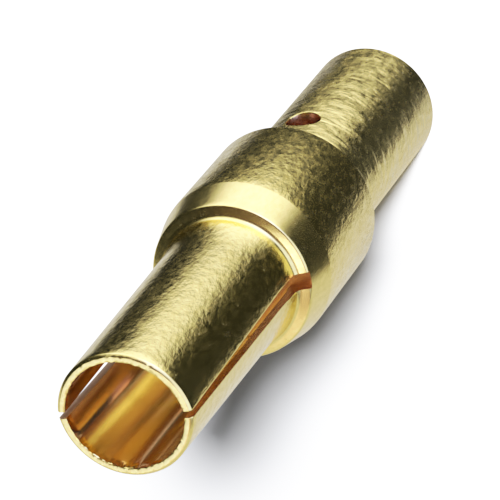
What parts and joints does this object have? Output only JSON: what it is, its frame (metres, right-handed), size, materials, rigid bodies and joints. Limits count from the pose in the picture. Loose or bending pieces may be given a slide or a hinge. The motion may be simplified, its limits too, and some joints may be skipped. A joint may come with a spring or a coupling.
{
  "type": "crimp contact",
  "caption": "Turned, gold-plated socket contact: a split tube pinched at its mouth to grip a round pin, a coned collar, a cylindrical body and a crimp barrel with an inspection hole.",
  "frame": {"origin": "centre of the crimp barrel's flat foot, which the contact stands on", "axes": "+Z along the contact's axis from the crimp barrel's foot to the socket's mouth; the slots open along +X and -X, and the inspection hole faces -Y"},
  "size_m": [0.0054, 0.0054, 0.0227],
  "materials": {
    "gold_plate": "satin gold plating over turned brass"
  },
  "bodies": {
    "root": {"crimp_contact": "gold_plate"}
  },
  "joints": []
}
